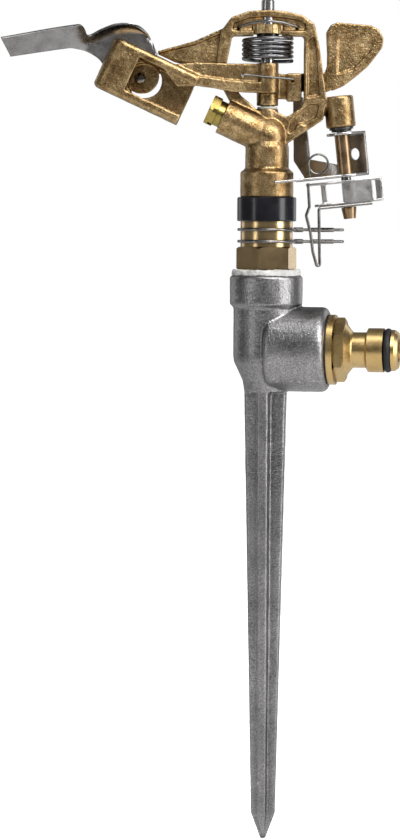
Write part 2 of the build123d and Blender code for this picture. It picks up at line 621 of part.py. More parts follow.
def swing_arm():
    """Brass casting: hub, bars, spoon, lug and counterweight."""
    hub = rod(HUB_R, HUB_BOTTOM, HUB_TOP) + Pos(0, -HUB_PAD_SHIFT, 0) * rod(HUB_R, HUB_PAD_BOTTOM, HUB_TOP)
    arm = hub + arm_bars() + spoon() + arm_tail() + counterweight()
    arm -= rod(FULCRUM_R + RUN_GAP + BUSH_T, HUB_BOTTOM, HUB_TOP)
    for side in (-1, 1):
        hole = Rot(90, 0, 0) * Cylinder(0.6, 14.0)
        arm -= Pos(side * HUB_WIRE_REACH, -ARM_FACE, 124.8 - side * 0.9) * hole
    return arm


def arm_bushes():
    """Two plain bushes pressed into the hub."""
    inner = FULCRUM_R + RUN_GAP
    low = ring(inner, inner + BUSH_T, HUB_BOTTOM, BUSH_L)
    high = ring(inner, inner + BUSH_T, HUB_TOP - BUSH_L, BUSH_L)
    return Compound(children=[low.solid(), high.solid()])


def hub_wire():
    """Thin lock wire across the front of the hub, its ends hooked into the arm."""
    front = -HUB_PAD_SHIFT - HUB_R - HUB_WIRE_R - 0.1
    reach = HUB_WIRE_REACH
    return wire([(-reach, -ARM_FACE - 1.0, 125.7), (-reach, front, 125.7), (reach, front, 123.9),
                 (reach, 1.0, 123.9)], HUB_WIRE_R, 0.5)


def vane_section(x, y, z, width, tilt):
    """Cross-section of the vane's strip, square to X, tilted from level."""
    across = (0, -cos(radians(tilt)), sin(radians(tilt)))
    return Plane(origin=(x, y, z), x_dir=across, z_dir=(1, 0, 0)) * Rectangle(width, VANE_T)


def splash_vane():
    """Steel strip behind the spoon that rolls over at the top and ends in a long twisted blade."""
    back = SPOON_BACK
    skin = back + VANE_T / 2
    tab = slab([(-68.0, 126.0), (-70.0, 133.0), (-70.0, 141.4), (-46.9, 141.4), (-43.9, 133.8),
                (-44.6, 126.5), (-47.0, 122.0), (-58.0, 119.6)], back, back + VANE_T, 0.6)
    roll = Rot(0, 90, 0) * (Cylinder(VANE_ROLL_R, 30.0) - Cylinder(VANE_ROLL_R - VANE_T, 30.0))
    roll = Pos(-58.4, back + VANE_T - VANE_ROLL_R, 141.4) * roll
    crest = [(-70.4, 141.2), (-66.3, 143.8), (-59.0, 145.8), (-55.0, 146.4), (-51.0, 145.4), (-47.9, 143.2),
             (-46.8, 141.2)]
    roll = roll & slab(crest, back + VANE_T - VANE_ROLL_R, back + VANE_T)
    tip = vane_section(-105.4, -1.2, 136.5, VANE_BLADE_W, VANE_TIP_TILT)
    root = vane_section(-75.0, 1.6, 140.9, VANE_BLADE_W, VANE_ROOT_TILT)
    join = vane_section(-66.0, skin, 135.4, VANE_BLADE_W, 90)
    vane = tab + roll + loft([tip, root], ruled=True) + loft([root, join], ruled=True)
    return vane - SPOON * spoon_hole(RIVET_ACROSS, RIVET_AT, RIVET_R, back - 1.0, back + 2.0)


def vane_rivet():
    """Rivet through the spoon's back wall and the vane, with a round head at each end."""
    head_front = SPOON_BACK - POCKET_FLOOR
    head_back = SPOON_BACK + VANE_T
    place = (RIVET_ACROSS, RIVET_AT)
    rivet = spoon_hole(*place, RIVET_R, head_front, head_back)
    rivet += spoon_hole(*place, RIVET_HEAD_R, head_front - RIVET_HEAD_T, head_front)
    rivet += spoon_hole(*place, RIVET_HEAD_R, head_back, head_back + RIVET_HEAD_T)
    return SPOON * rivet


# ---------------------------------------------------------------- arm spring
def arm_spring():
    """Torsion spring that brings the arm back."""
    return coil(SPRING_WIRE_R, SPRING_R, SPRING_PITCH, SPRING_COILS, SPRING_BOTTOM)


def spring_cap():
    """Toothed brass cap that sets the spring's tension."""
    cap = ring(FULCRUM_R, CAP_R, CAP_Z, CAP_H)
    for number in range(CAP_TEETH):
        groove = Pos(CAP_R + 0.2, 0, CAP_Z + CAP_H / 2) * Cylinder(0.6, CAP_H)
        cap -= Rot(0, 0, number * 360 / CAP_TEETH) * groove
    return cap


def cap_bush():
    return ring(FULCRUM_R, CAP_BUSH_R, CAP_Z - 1.8, 1.8)


def cap_ring():
    """Wire ring that locks the cap, bowed out in front of the bridge."""
    front = -BRIDGE_T / 2
    hook = front + RECESS + 1.0
    reach = CLIP_RING_R
    return wire([(-reach, hook, 144.6), (-reach, front - 1.2, 144.8), (-reach * 0.55, front - 5.0, 146.0),
                 (0, front - 6.6, 146.6), (reach * 0.55, front - 5.0, 146.0), (reach, front - 1.2, 144.8),
                 (reach, hook, 144.6)], CLIP_RING_WIRE_R, 1.6)


# ---------------------------------------------------------------- trip gear
def trip_pin():
    pin = rod(TRIP_PIN_R, TRIP_PIN_BOTTOM, TRIP_BOSS_H - 2.0)
    return TRIP * chamfer(pin.edges().filter_by(GeomType.CIRCLE), 0.3)


def trip_washers():
    """Two washers under the boss and one between the levers."""
    low = ring(TRIP_PIN_R + RUN_GAP, TRIP_WASHER_R, -WASHER_T, WASHER_T)
    high = ring(TRIP_PIN_R + RUN_GAP, TRIP_WASHER_R - 0.8, -2 * WASHER_T, WASHER_T - 0.1)
    return TRIP * Compound(children=[low.solid(), high.solid()])


def trip_spacer():
    """Brass tube between the bracket's flanges."""
    return TRIP * ring(TRIP_PIN_R + RUN_GAP, SPACER_R, BRACKET_BOTTOM + SHEET_T, BRACKET_H - 2 * SHEET_T)


def reverse_lever():
    """Folded bracket on the trip pin, with a fork round the barrel and the reversing finger."""
    half = BRACKET_W / 2
    flange = make_face(FilletPolyline((-half, -half), (BRACKET_REACH, -half), (BRACKET_REACH, half),
                                      (-half, half), radius=[half * 0.96, 0.4, 0.4, half * 0.96],
                                      close=True))
    bracket = Pos(0, 0, BRACKET_TOP - SHEET_T) * extrude(flange, amount=SHEET_T)
    bracket += Pos(0, 0, BRACKET_BOTTOM) * extrude(flange, amount=SHEET_T)
    middle = (BRACKET_TOP + BRACKET_BOTTOM) / 2
    web = Pos(BRACKET_REACH - SHEET_T / 2, 0, middle) * Box(SHEET_T, BRACKET_W, BRACKET_H)
    web -= Pos(BRACKET_REACH, 0, middle) * Rot(0, 90, 0) * Cylinder(BRACKET_HOLE_R, 4.0)
    bracket = Rot(0, 0, BRACKET_TURN) * (bracket + web)
    fork = sheet([(4.0, -4.6), (-6.0, -6.6), (-28.8, -13.2), (-29.2, -12.0), (-9.0, -4.0), (-9.0, 5.2),
                  (-14.2, 10.4), (-19.6, 11.4), (-19.2, 12.8), (-14.6, 13.6), (-2.0, 7.6), (4.0, 4.0)],
                 BRACKET_BOTTOM)
    inner = slab([(-2.6, BRACKET_BOTTOM), (-2.6, -14.4), (-14.6, -11.0), (-14.6, BRACKET_BOTTOM)], 0,
                 SHEET_T)
    inner = Pos(-2.6, 6.4, 0) * Rot(0, 0, -27) * Pos(2.6, 0, 0) * inner
    outer = slab([(0, BRACKET_BOTTOM), (-2.4, BRACKET_BOTTOM), (-7.2, -11.0), (-6.6, -4.6),
                  (-4.8, FINGER_TOP),
                  (-0.6, FINGER_TOP), (0, -2.6)], 0, SHEET_T)
    outer = Pos(-13.1, 11.8, 0) * Rot(0, 0, -24) * outer
    lever = bracket + fork + inner + outer - rod(TRIP_PIN_R + RUN_GAP, BRACKET_BOTTOM, BRACKET_TOP)
    return TRIP * lever


def trip_lever():
    """Folded channel that the feeler turns, with a rounded end."""
    half = LEVER_W / 2
    outline = make_face(FilletPolyline((-LEVER_LEFT, -1.8), (-8.0, -half), (LEVER_RIGHT, -half),
                                       (LEVER_RIGHT, half),
                                       (-8.0, half), (-LEVER_LEFT, 1.8), radius=0.8, close=True))
    top = Pos(0, 0, LEVER_TOP - SHEET_T) * extrude(outline, amount=SHEET_T)
    bottom = Pos(0, 0, LEVER_BOTTOM) * extrude(outline, amount=SHEET_T)
    bottom -= Pos(-LEVER_LEFT, 0, LEVER_BOTTOM) * Box(6.0, LEVER_W, 4.0)
    web = slab([(-2.6, LEVER_BOTTOM), (9.6, LEVER_BOTTOM), (9.6, LEVER_TOP), (-2.6, LEVER_TOP)],
               -half, -half + SHEET_T)
    end = slab([(LEVER_RIGHT - SHEET_T, LEVER_BOTTOM), (LEVER_RIGHT, LEVER_BOTTOM + 2.0),
                (LEVER_RIGHT, LEVER_TOP - 2.0), (LEVER_RIGHT - SHEET_T, LEVER_TOP)], -half, half)
    tab = slab([(-10.4, LEVER_BOTTOM), (-8.4, LEVER_BOTTOM), (-8.4, LEVER_TOP), (-10.4, LEVER_TOP)],
               0.4, 1.4)
    lever = top + bottom + web + end + tab - rod(TRIP_PIN_R + RUN_GAP, LEVER_BOTTOM, LEVER_TOP)
    return LEVER * lever


def trip_feeler():
    """Wire hairpin that hangs from the trip lever and meets the stop clips."""
    plane = -LEVER_W / 2 - FEELER_R + 0.2
    run = LEVER_BOTTOM - FEELER_R
    top = LEVER_TOP + 0.2
    left = -LEVER_LEFT + 0.4
    return LEVER * wire([
        (8.6, plane, run), (-13.4, plane, run), (-14.8, plane, run - 16.0), (-15.3, plane, -FEELER_DROP),
        (-16.6, plane, -FEELER_DROP), (-17.6, plane, -48.0), (-17.8, plane, -40.4), (-18.9, plane, -33.4),
        (left - 1.2, plane, run + 1.0), (left - 0.8, plane, top),
    ], FEELER_R, [0.9, 4.0, 0.6, 0.6, 4.0, 3.0, 2.2, 2.0])


def trip_nut():
    nut = turned([(TRIP_PIN_R, -NUT_L), (NUT_TIP_R + 0.8, -NUT_L), (NUT_R, -0.6), (NUT_R, 0),
                  (TRIP_PIN_R, 0)])
    return TRIP * Pos(0, 0, LEVER_BOTTOM - WASHER_T - MOVE_GAP) * nut


def lock_plate():
    """Small spring plate between the lever and the nut."""
    plate = sheet([(-4.6, -2.6), (3.4, -2.6), (3.4, 2.6), (-4.6, 2.6)], 0, WASHER_T - 0.2, 0.8)
    plate -= rod(TRIP_PIN_R, 0, WASHER_T)
    return TRIP * Pos(0, 0, LEVER_BOTTOM - WASHER_T - MOVE_GAP + 0.1) * plate


def toggle_spring():
    """Over-centre spring: one turn of wire with a leg towards each lever."""
    pitch = 2.6 * TOGGLE_WIRE_R
    turn = Rot(90, 0, 0) * Rot(0, 0, 180) * coil(TOGGLE_WIRE_R, TOGGLE_R, pitch, 1.0, -pitch / 2)
    leg_up = Pos(-TOGGLE_R, pitch / 2, 0) * rod(TOGGLE_WIRE_R, 0, TOGGLE_TOP - TOGGLE_Z)
    leg_down = Pos(-TOGGLE_R, -pitch / 2, 0) * rod(TOGGLE_WIRE_R, BRACKET_BOTTOM + SHEET_T - TOGGLE_Z, 0)
    knees = [Pos(-TOGGLE_R, side * pitch / 2, 0) * Sphere(1.06 * TOGGLE_WIRE_R) for side in (-1, 1)]
    return TRIP * Pos(TOGGLE_X, TOGGLE_Y, TOGGLE_Z) * (turn + leg_up + leg_down + knees)


EXPORTS = {
    "spike_housing": spike_housing(),
    "inlet_gasket": inlet_gasket(),
    "hose_connector": hose_connector(),
    "connector_oring": connector_oring(),
    "bearing_nipple": bearing_nipple(),
    "thread_seal": thread_seal(),
    "nipple_washer": nipple_washer(),
    "upper_stop_clip": BEARING * stop_clip(CLIP_HIGH_Z),
    "lower_stop_clip": BEARING * stop_clip(CLIP_LOW_Z),
    "swivel_tube": BEARING * swivel_tube(),
    "face_seals": BEARING * face_seals(),
    "swivel_spring": BEARING * swivel_spring(),
    "dust_sleeve": BEARING * dust_sleeve(),
    "sprinkler_body": HEAD * sprinkler_body(),
    "nozzle": HEAD * nozzle(),
    "fulcrum_pin": HEAD * fulcrum_pin(),
    "pin_washer": HEAD * pin_washer(),
    "swing_arm": HEAD * swing_arm(),
    "arm_bushes": HEAD * arm_bushes(),
    "hub_wire": HEAD * hub_wire(),
    "splash_vane": HEAD * splash_vane(),
    "vane_rivet": HEAD * vane_rivet(),
    "arm_spring": HEAD * arm_spring(),
    "spring_cap": HEAD * spring_cap(),
    "cap_bush": HEAD * cap_bush(),
    "cap_ring": HEAD * cap_ring(),
    "trip_pin": HEAD * trip_pin(),
    "trip_washers": HEAD * trip_washers(),
    "trip_spacer": HEAD * trip_spacer(),
    "reverse_lever": HEAD * reverse_lever(),
    "trip_lever": HEAD * trip_lever(),
    "trip_feeler": HEAD * trip_feeler(),
    "trip_nut": HEAD * trip_nut(),
    "lock_plate": HEAD * lock_plate(),
    "toggle_spring": HEAD * toggle_spring(),
}

os.makedirs("parts", exist_ok=True)
for name, shape in EXPORTS.items():
    export_step(shape, f"parts/{name}.step")
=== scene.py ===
"""Looks of the impact sprinkler: castings, wires, sheet parts, materials, studio and camera."""

import json
import math

import bmesh
import bpy
from mathutils import Matrix, Vector

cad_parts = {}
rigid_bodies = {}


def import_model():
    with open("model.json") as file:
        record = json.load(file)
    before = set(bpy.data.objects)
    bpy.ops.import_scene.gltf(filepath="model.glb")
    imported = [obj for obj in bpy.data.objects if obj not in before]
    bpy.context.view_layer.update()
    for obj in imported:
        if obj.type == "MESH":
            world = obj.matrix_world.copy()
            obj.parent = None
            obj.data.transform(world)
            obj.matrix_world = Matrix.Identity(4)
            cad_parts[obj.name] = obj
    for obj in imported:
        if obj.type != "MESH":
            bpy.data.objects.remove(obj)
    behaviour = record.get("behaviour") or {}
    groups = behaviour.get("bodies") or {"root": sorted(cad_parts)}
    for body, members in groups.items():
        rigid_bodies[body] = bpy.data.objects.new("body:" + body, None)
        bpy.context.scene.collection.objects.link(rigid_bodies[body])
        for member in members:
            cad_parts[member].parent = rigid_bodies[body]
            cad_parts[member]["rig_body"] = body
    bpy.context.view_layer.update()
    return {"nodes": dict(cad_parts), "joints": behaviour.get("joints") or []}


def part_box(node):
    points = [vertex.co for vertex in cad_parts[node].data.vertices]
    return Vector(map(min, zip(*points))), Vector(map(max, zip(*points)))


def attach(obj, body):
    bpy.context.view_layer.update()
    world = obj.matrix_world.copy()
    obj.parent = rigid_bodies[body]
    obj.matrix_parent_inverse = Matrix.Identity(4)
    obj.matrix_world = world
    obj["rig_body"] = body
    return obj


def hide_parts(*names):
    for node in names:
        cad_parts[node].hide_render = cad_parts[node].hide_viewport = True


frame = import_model()
NODES = frame["nodes"]
MM = 0.001

# ---- Camera, in metres and degrees ----
CAMERA_AZIMUTH = 11.0
CAMERA_ROLL = 0.25
CAMERA_DISTANCE = 1.0
CAMERA_HEIGHT = 0.065
SENSOR = 36.0                        # millimetres
VIEW_HEIGHT = 0.338                  # height of the picture at the swivel axis
VIEW_CENTRE = (-0.0263, -0.0118)     # right of the swivel axis, above the ground line

# ---- Studio ----
LIT_CENTRE = Vector((0.0, 0.0, 0.03))
# Softboxes: azimuth from the camera's, elevation, distance, width and height, watts
SOFTBOXES = {
    "left_strip": (-52, 8, 1.1, (0.10, 1.0), 1.6),
    "right_box": (62, 14, 1.1, (0.42, 1.1), 8.6),
    "key_box": (26, 40, 1.1, (0.7, 0.45), 11),
    "top_box": (12, 70, 1.2, (0.9, 0.5), 5),
    "back_left": (-132, 10, 1.4, (0.6, 1.2), 1.8),
    "back_right": (140, 10, 1.4, (0.6, 1.2), 2.8),
}
SURROUND = 0.17                      # strength of the light from all round
FLOOR_RADIUS = 9.0
FLOOR_GAP = 0.4 * MM                 # between the spike's point and the floor

# ---- Castings and folded sheets ----
SPIKE_VOXEL = 0.46 * MM
BODY_VOXEL = 0.36 * MM
ARM_VOXEL = 0.34 * MM
SHEET_VOXEL = 0.22 * MM
TAPE_VOXEL = 0.32 * MM
CASTING_FACES = 190000
SHEET_FACES = 60000
SPIKE_SKIN = ((6.0, 0.16), (1.1, 0.10))     # unevenness: size of the bumps and depth, in millimetres
BRASS_SKIN = ((6.0, 0.20), (1.2, 0.12))
SHEET_SKIN = ((6.0, 0.08),)
TAPE_SKIN = ((3.2, 1.3), (1.2, 0.5))
EJECTOR_MARKS = ((16.7, 14.6, 1.7), (13.2, -25.6, 1.9))   # out and up in the arm's frame, and radius
EJECTOR_MARK_FRONT = -2.7
EJECTOR_MARK_DEPTH = 2.2

# ---- Stop clips ----
CLIP_RING_STEPS = 64
CLIP_LEG_STEPS = 80
CLIP_BEND_STEPS = 12
CLIP_WINDING = (0.06, 0.20)          # where along the legs the wire is wound, as shares of their length
CLIP_GRIP = (0.42, 0.84)             # where it is pressed thicker
WINDING_TURN = 1.75                  # thickness of a wound turn, of the gap after it and of the grip
WINDING_GAP = 1.15
GRIP_THICKNESS = 1.5


# ---------------------------------------------------------------- materials
NOISE_ROUGHNESS = 0.6
# samples of the ambient occlusion behind the painted shade in corners
PAINTED_SHADE_SAMPLES = 6


class Shader:
    """One procedural material. Each method adds a node and returns its output."""

    def __init__(self, name, metallic=0.0, specular=0.5):
        self.material = bpy.data.materials.new(name)
        self.material.use_nodes = True
        self.tree = self.material.node_tree
        self.surface = self.tree.nodes["Principled BSDF"]
        self.surface.inputs["Metallic"].default_value = metallic
        self.surface.inputs["Specular IOR Level"].default_value = specular
        coordinates = self.tree.nodes.new("ShaderNodeTexCoord")
        self.place = coordinates.outputs["Object"]

    def link(self, source, target):
        self.tree.links.new(source, target)

    def stretched(self, scale):
        """Object coordinates scaled along each axis."""
        node = self.tree.nodes.new("ShaderNodeMapping")
        node.inputs["Scale"].default_value = scale
        self.link(self.place, node.inputs["Vector"])
        return node.outputs["Vector"]

    def noise(self, size, detail=3.0, distortion=0.0, vector=None):
        """Noise whose blobs are about `size` millimetres across."""
        node = self.tree.nodes.new("ShaderNodeTexNoise")
        node.inputs["Scale"].default_value = 1.0 / (size * MM)
        node.inputs["Detail"].default_value = detail
        node.inputs["Roughness"].default_value = NOISE_ROUGHNESS
        node.inputs["Distortion"].default_value = distortion
        self.link(vector or self.place, node.inputs["Vector"])
        return node.outputs["Fac"]

    def cells(self, size):
        """Distance to the nearest of scattered points, for pits and crystals."""
        node = self.tree.nodes.new("ShaderNodeTexVoronoi")
        node.inputs["Scale"].default_value = 1.0 / (size * MM)
        self.link(self.place, node.inputs["Vector"])
        return node.outputs["Distance"]

    def ramp(self, factor, stops):
        """Colour ramp. Each stop is a position and either a grey value or a colour."""
        node = self.tree.nodes.new("ShaderNodeValToRGB")
        elements = node.color_ramp.elements
        while len(elements) < len(stops):
            elements.new(0.5)
        for element, (position, colour) in zip(elements, stops):
            element.position = position
            element.color = (*colour, 1.0) if isinstance(colour, tuple) else (colour,) * 3 + (1.0,)
        self.link(factor, node.inputs["Fac"])
        return node.outputs["Color"]

    def between(self, factor, dark, light):
        """From dark to light over the middle of a noise's range."""
        return self.ramp(factor, [(0.3, dark), (0.7, light)])

    def mix(self, factor, first, second, mode="MIX"):
        """Mixes two colours; each is an output or a fixed colour."""
        node = self.tree.nodes.new("ShaderNodeMix")
        node.data_type = "RGBA"
        node.blend_type = mode
        for socket, value in zip((node.inputs[0], node.inputs[6], node.inputs[7]), (factor, first, second)):
            if isinstance(value, bpy.types.NodeSocket):
                self.link(value, socket)
            elif isinstance(value, tuple):
                socket.default_value = (*value, 1.0)
            else:
                socket.default_value = value
        return node.outputs[2]

    def multiply(self, first, second):
        return self.mix(1.0, first, second, "MULTIPLY")

    def add(self, first, second, weight):
        """first + second * weight."""
        node = self.tree.nodes.new("ShaderNodeMath")
        node.operation = "MULTIPLY_ADD"
        self.link(second, node.inputs[0])
        node.inputs[1].default_value = weight
        self.link(first, node.inputs[2])
        return node.outputs[0]

    def edges(self, low, high):
        """1 on worn outer edges, 0 on flats, from the mesh's curvature."""
        node = self.tree.nodes.new("ShaderNodeNewGeometry")
        return self.ramp(node.outputs["Pointiness"], [(low, 0.0), (high, 1.0)])

    def painted_hollow_shade(self, reach, low, high):
        """Mask of painted shade: 1 in narrow corners, 0 in the open, from ambient occlusion."""
        node = self.tree.nodes.new("ShaderNodeAmbientOcclusion")
        node.samples = PAINTED_SHADE_SAMPLES
        node.inputs["Distance"].default_value = reach * MM
        return self.ramp(node.outputs["AO"], [(low, 1.0), (high, 0.0)])

    def colour(self, output):
        self.link(output, self.surface.inputs["Base Color"])

    def roughness(self, factor, low, high):
        self.link(self.between(factor, low, high), self.surface.inputs["Roughness"])

    def bump(self, height, depth, strength):
        """Bump from a height output; depth in millimetres."""
        node = self.tree.nodes.new("ShaderNodeBump")
        node.inputs["Strength"].default_value = strength
        node.inputs["Distance"].default_value = depth * MM
        self.link(height, node.inputs["Height"])
        self.link(node.outputs["Normal"], self.surface.inputs["Normal"])


def cast_brass():
    """Sand-cast brass, aged: golden and worn on the edges, with painted shade that darkens the corners
    brown.
    """
    shader = Shader("cast_brass", metallic=1.0)
    patches = shader.noise(9.0, detail=4.0)
    grain = shader.noise(0.5, detail=2.0)
    stains = shader.noise(3.6, detail=5.0, distortion=0.6)
    base = shader.ramp(patches, [(0.32, (0.285, 0.190, 0.088)), (0.68, (0.470, 0.340, 0.182))])
    base = shader.multiply(base, shader.ramp(grain, [(0.36, 0.52), (0.62, 1.22)]))
    stained = shader.ramp(stains, [(0.38, (0.66, 0.58, 0.48)), (0.58, (1.05, 1.04, 1.0))])
    base = shader.multiply(base, stained)
    # Painted shade: corners and recesses darken to near-black brown, from ambient occlusion.
    base = shader.mix(shader.painted_hollow_shade(3.2, 0.20, 0.85), base, (0.070, 0.038, 0.012))
    scuffs = shader.ramp(shader.noise(2.2), [(0.4, 0.1), (0.62, 0.8)])
    base = shader.mix(shader.multiply(shader.edges(0.515, 0.60), scuffs), base, (0.76, 0.58, 0.31))
    shader.colour(base)
    shader.roughness(patches, 0.27, 0.40)
    shader.bump(shader.add(grain, shader.cells(0.9), 0.5), 0.12, 0.85)
    return shader.material


def cast_grey():
    """Grey zinc casting with a sparkling blasted grain."""
    shader = Shader("cast_grey", metallic=1.0)
    patches = shader.noise(14.0, detail=4.0)
    grain = shader.noise(0.55, detail=2.0)
    base = shader.between(patches, (0.190, 0.187, 0.190), (0.300, 0.294, 0.294))
    base = shader.multiply(base, shader.ramp(grain, [(0.38, 0.66), (0.62, 1.3)]))
    # Painted shade: corners and recesses darken to near-black grey, from ambient occlusion.
    base = shader.mix(shader.painted_hollow_shade(3.0, 0.3, 0.9), base, (0.05, 0.05, 0.052))
    base = shader.mix(shader.edges(0.53, 0.64), base, (0.50, 0.49, 0.49))
    shader.colour(base)
    shader.roughness(patches, 0.28, 0.40)
    shader.bump(shader.add(grain, shader.cells(0.8), 0.6), 0.11, 0.8)
    return shader.material


def turned_metal(name, dark, light, stretch, rough=(0.10, 0.2)):
    """Machined metal with fine tool marks that run round the turning axis."""
    shader = Shader(name, metallic=1.0)
    patches = shader.noise(12.0)
    lines = shader.noise(1.0, detail=2.0, vector=shader.stretched(stretch))
    base = shader.between(patches, dark, light)
    base = shader.multiply(base, shader.ramp(lines, [(0.35, 0.88), (0.65, 1.04)]))
    # Painted shade: corners and recesses darken to 0.22 of the dark tone, from ambient occlusion.
    base = shader.mix(shader.painted_hollow_shade(1.6, 0.3, 0.85), base, tuple(0.22 * value for value in dark))
    shader.colour(base)
    shader.roughness(shader.add(patches, lines, 0.25), *rough)
    shader.bump(lines, 0.02, 0.6)
    return shader.material


def plain_metal(name, dark, light, rough, stretch=(1.0, 1.0, 1.0)):
    """Sheet or wire: slight stains, a fine rolled or drawn grain, painted shade in the joints."""
    shader = Shader(name, metallic=1.0)
    patches = shader.noise(6.0, detail=5.0, distortion=0.4)
    grain = shader.noise(0.35, detail=2.0, vector=shader.stretched(stretch))
    base = shader.between(patches, dark, light)
    base = shader.multiply(base, shader.ramp(grain, [(0.35, 0.86), (0.65, 1.06)]))
    # Painted shade: joints and corners darken to a quarter of the dark tone, from ambient occlusion.
    base = shader.mix(shader.painted_hollow_shade(1.2, 0.25, 0.8), base, tuple(0.25 * value for value in dark))
    shader.colour(base)
    shader.roughness(patches, *rough)
    shader.bump(grain, 0.02, 0.6)
    return shader.material


def soft_material(name, dark, light, rough, grain_size, depth, specular=0.5):
    """Plastic, rubber or tape."""
    shader = Shader(name, specular=specular)
    patches = shader.noise(5.0, detail=4.0)
    grain = shader.noise(grain_size)
    shader.colour(shader.between(patches, dark, light))
    shader.roughness(shader.add(patches, grain, 0.3), *rough)
    shader.bump(grain, depth, 0.7)
    return shader.material


ROUND_Z = (60.0, 60.0, 6000.0)     # tool marks round a vertical axis
ROUND_X = (6000.0, 60.0, 60.0)     # tool marks round the connector's axis
ROLLED = (0.25, 1.0, 1.6)          # grain of rolled sheet
MATERIALS = {
    "cast_brass": cast_brass(),
    "cast_grey": cast_grey(),
    "polished_brass": turned_metal("polished_brass", (0.52, 0.36, 0.18), (0.70, 0.51, 0.27), ROUND_Z),
    "connector_brass": turned_metal("connector_brass", (0.47, 0.32, 0.13), (0.62, 0.45, 0.21), ROUND_X,
                                    rough=(0.2, 0.32)),
    "steel_pin": turned_metal("steel_pin", (0.36, 0.35, 0.34), (0.55, 0.54, 0.53), ROUND_Z,
                              rough=(0.14, 0.25)),
    "nozzle_brass": plain_metal("nozzle_brass", (0.30, 0.22, 0.06), (0.42, 0.32, 0.10), (0.24, 0.36)),
    "bronze": plain_metal("bronze", (0.22, 0.14, 0.075), (0.36, 0.25, 0.15), (0.24, 0.38)),
    "stainless_sheet": plain_metal("stainless_sheet", (0.38, 0.366, 0.352), (0.52, 0.507, 0.495),
                                   (0.24, 0.38), ROLLED),
    "vane_steel": plain_metal("vane_steel", (0.20, 0.195, 0.195), (0.32, 0.31, 0.305), (0.22, 0.34), ROLLED),
    "spring_steel": plain_metal("spring_steel", (0.12, 0.116, 0.11), (0.25, 0.243, 0.232), (0.17, 0.28)),
    "arm_spring_steel": plain_metal("arm_spring_steel", (0.10, 0.098, 0.102), (0.21, 0.205, 0.21),
                                    (0.2, 0.32)),
    "dark_steel": plain_metal("dark_steel", (0.05, 0.048, 0.046), (0.11, 0.105, 0.10), (0.3, 0.46)),
    "black_plastic": soft_material("black_plastic", (0.004, 0.004, 0.006), (0.008, 0.008, 0.011),
                                   (0.14, 0.24), 0.4, 0.006, specular=0.4),
    "rubber": soft_material("rubber", (0.006, 0.006, 0.007), (0.012, 0.012, 0.014), (0.42, 0.6), 0.3, 0.02,
                            specular=0.35),
    "ptfe": soft_material("ptfe", (0.36, 0.35, 0.34), (0.60, 0.60, 0.58), (0.45, 0.7), 0.8, 0.15),
    "nylon": soft_material("nylon", (0.30, 0.28, 0.23), (0.44, 0.42, 0.36), (0.4, 0.6), 0.6, 0.02),
}
# Nodes whose material isn't named after their slot, and the slots that those materials belong to
NODE_MATERIALS = {"hose_connector": "connector_brass"}


def paint_nodes():
    """Gives each carried-over CAD node the material of its slot."""
    for name, node in NODES.items():
        for slot in node.material_slots:
            slot.material = MATERIALS[NODE_MATERIALS.get(name, slot.material.name)]


# ---------------------------------------------------------------- piece helpers
def new_object(name, mesh):
    piece = bpy.data.objects.new(name, mesh)
    bpy.context.scene.collection.objects.link(piece)
    return piece


def finish_piece(piece, node, material):
    """Rides on the node's body, stands for the node and takes its finish."""
    piece.data.materials.clear()
    piece.data.materials.append(MATERIALS[material])
    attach(piece, NODES[node]["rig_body"])
    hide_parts(node)


def smooth_shaded(mesh):
    for polygon in mesh.polygons:
        polygon.use_smooth = True
    return mesh


def mesh_from(shape, name):
    """Mesh of a bmesh, which it frees."""
    mesh = bpy.data.meshes.new(name)
    shape.to_mesh(mesh)
    shape.free()
    return mesh


def evaluated_mesh(piece):
    bpy.context.view_layer.update()
    graph = bpy.context.evaluated_depsgraph_get()
    return bpy.data.meshes.new_from_object(piece.evaluated_get(graph))


def applied(piece):
    """Replaces the piece's mesh with the result of its modifiers."""
    mesh = evaluated_mesh(piece)
    piece.modifiers.clear()
    piece.data = mesh
    return piece


def clouds(name, size):
    texture = bpy.data.textures.new(name, "CLOUDS")
    texture.noise_scale = size * MM
    texture.noise_depth = 2
    return texture


def ejector_marks(mesh):
    """Adds the round marks that the mould's ejector pins left on the front of the bridge."""
    shape = bmesh.new()
    shape.from_mesh(mesh)
    for out, height, radius in EJECTOR_MARKS:
        place = arm_frame() @ Matrix.Translation((out, EJECTOR_MARK_FRONT, height))
        bmesh.ops.create_cone(shape, cap_ends=True, segments=32, radius1=radius, radius2=radius,
                              depth=EJECTOR_MARK_DEPTH, matrix=place @ Matrix.Rotation(math.pi / 2, 4, "X"))
    shape.to_mesh(mesh)
    shape.free()


def casting(node, material, voxel, rounding, unevenness, faces=CASTING_FACES, marks=None):
    """The CAD solid with rounded edges and a slightly uneven skin, in at most so many triangles."""
    piece = new_object(node + "_casting", NODES[node].data.copy())
    if marks:
        marks(piece.data)
    remesh = piece.modifiers.new("remesh", "REMESH")
    remesh.mode = "VOXEL"
    remesh.voxel_size = voxel
    smooth = piece.modifiers.new("rounding", "SMOOTH")
    smooth.factor = 0.5
    smooth.iterations = rounding
    for size, depth in unevenness:
        skin = piece.modifiers.new("skin", "DISPLACE")
        skin.texture = clouds(f"{node}_{size}", size)
        skin.texture_coords = "LOCAL"
        skin.mid_level = 0.5
        skin.strength = depth * MM
    applied(piece)
    count = len(piece.data.polygons) * 2
    if count > faces:
        thin = piece.modifiers.new("thin", "DECIMATE")
        thin.ratio = faces / count
        applied(piece)
    smooth_shaded(piece.data)
    finish_piece(piece, node, material)
    return piece


# ---------------------------------------------------------------- head frame
def head_turn():
    """How far the head is turned about Z, from where the trip lever's pivot is."""
    pivot = next(joint for joint in frame["joints"] if joint["name"] == "reverse_lever_pivot")
    return math.atan2(pivot["pos_m"][1], pivot["pos_m"][0])


def arm_frame():
    """Head frame in millimetres, its height counted from the top of the arm's hub."""
    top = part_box("arm_bushes")[1].z
    return Matrix.Translation((0.0, 0.0, top)) @ Matrix.Rotation(head_turn(), 4, "Z") @ Matrix.Scale(MM, 4)


